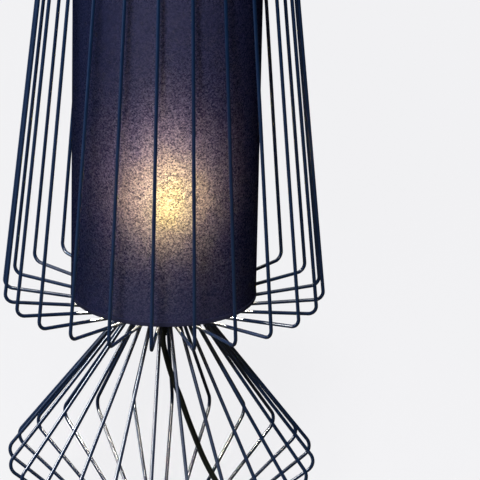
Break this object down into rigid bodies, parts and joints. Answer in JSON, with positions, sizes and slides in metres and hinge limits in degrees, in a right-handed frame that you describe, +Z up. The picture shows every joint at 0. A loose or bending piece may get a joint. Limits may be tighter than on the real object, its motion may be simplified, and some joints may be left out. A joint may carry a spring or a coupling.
{
  "type": "table lamp",
  "caption": "Table lamp with a cage of bent wire ribs round a fabric drum shade, on a diamond-shaped wire foot, with a corded switch and plug.",
  "frame": {"origin": "on the table under the middle of the foot plate's felt", "axes": "+Z up along the lamp's axis, -Y towards the viewer of the picture, +X to the viewer's right, where the cord leaves"},
  "size_m": [0.3203, 0.3519, 0.6198],
  "materials": {
    "navy_paint": "satin powder coat on steel wire",
    "shade_fabric": "plain weave on a stiff backing, lit from inside",
    "felt": "felt",
    "white_wire": "white coated steel wire",
    "zinc": "zinc plated",
    "brass": "plain",
    "cap_metal": "rolled screw cap",
    "opal_glass": "opal glass, lit",
    "holder_plastic": "moulded, satin",
    "cord_plastic": "flexible sheath, satin"
  },
  "bodies": {
    "lamp": {"rib_01": "navy_paint", "rib_02": "navy_paint", "rib_03": "navy_paint", "rib_04": "navy_paint", "rib_05": "navy_paint", "rib_06": "navy_paint", "rib_07": "navy_paint", "rib_08": "navy_paint", "rib_09": "navy_paint", "rib_10": "navy_paint", "rib_11": "navy_paint", "rib_12": "navy_paint", "rib_13": "navy_paint", "rib_14": "navy_paint", "rib_15": "navy_paint", "rib_16": "navy_paint", "rib_17": "navy_paint", "rib_18": "navy_paint", "rib_19": "navy_paint", "rib_20": "navy_paint", "rib_21": "navy_paint", "rib_22": "navy_paint", "rib_23": "navy_paint", "rib_24": "navy_paint", "top_ring": "navy_paint", "waist_hub": "navy_paint", "foot_plate": "navy_paint", "felt_pad": "felt", "nipple": "zinc", "nipple_nut": "zinc", "cord_grip": "cord_plastic", "holder_cap": "holder_plastic", "holder_skirt": "holder_plastic", "socket_shell": "brass", "centre_contact": "brass", "shade_drum": "shade_fabric", "shade_top_ring": "white_wire", "shade_carrier": "white_wire", "cord_drop": "cord_plastic", "cord_run": "cord_plastic", "cord_coil": "cord_plastic", "cord_tail": "cord_plastic", "cord_tie": "cord_plastic", "switch_base": "cord_plastic", "switch_cover": "cord_plastic", "plug_body": "cord_plastic", "plug_pin_left": "brass", "plug_pin_right": "brass"},
    "bulb": {"bulb_cap": "cap_metal", "bulb_glass": "opal_glass"},
    "clamp_ring": {"holder_ring": "holder_plastic"},
    "rocker": {"switch_rocker": "cord_plastic"}
  },
  "joints": [
    {"name": "bulb_turn", "type": "hinge", "parent": "lamp", "child": "bulb", "pos_m": [0, 0, 0.2738], "axis": [0, 0, 1], "range_deg": [0, 1080]},
    {"name": "clamp_ring_turn", "type": "hinge", "parent": "lamp", "child": "clamp_ring", "pos_m": [0, 0, 0.2589], "axis": [0, 0, 1], "range_deg": [0, 720]},
    {"name": "rocker_tilt", "type": "hinge", "parent": "lamp", "child": "rocker", "pos_m": [0.158, -0.075, 0.012], "axis": [1, 0, 0], "range_deg": [-14, 0]}
  ]
}
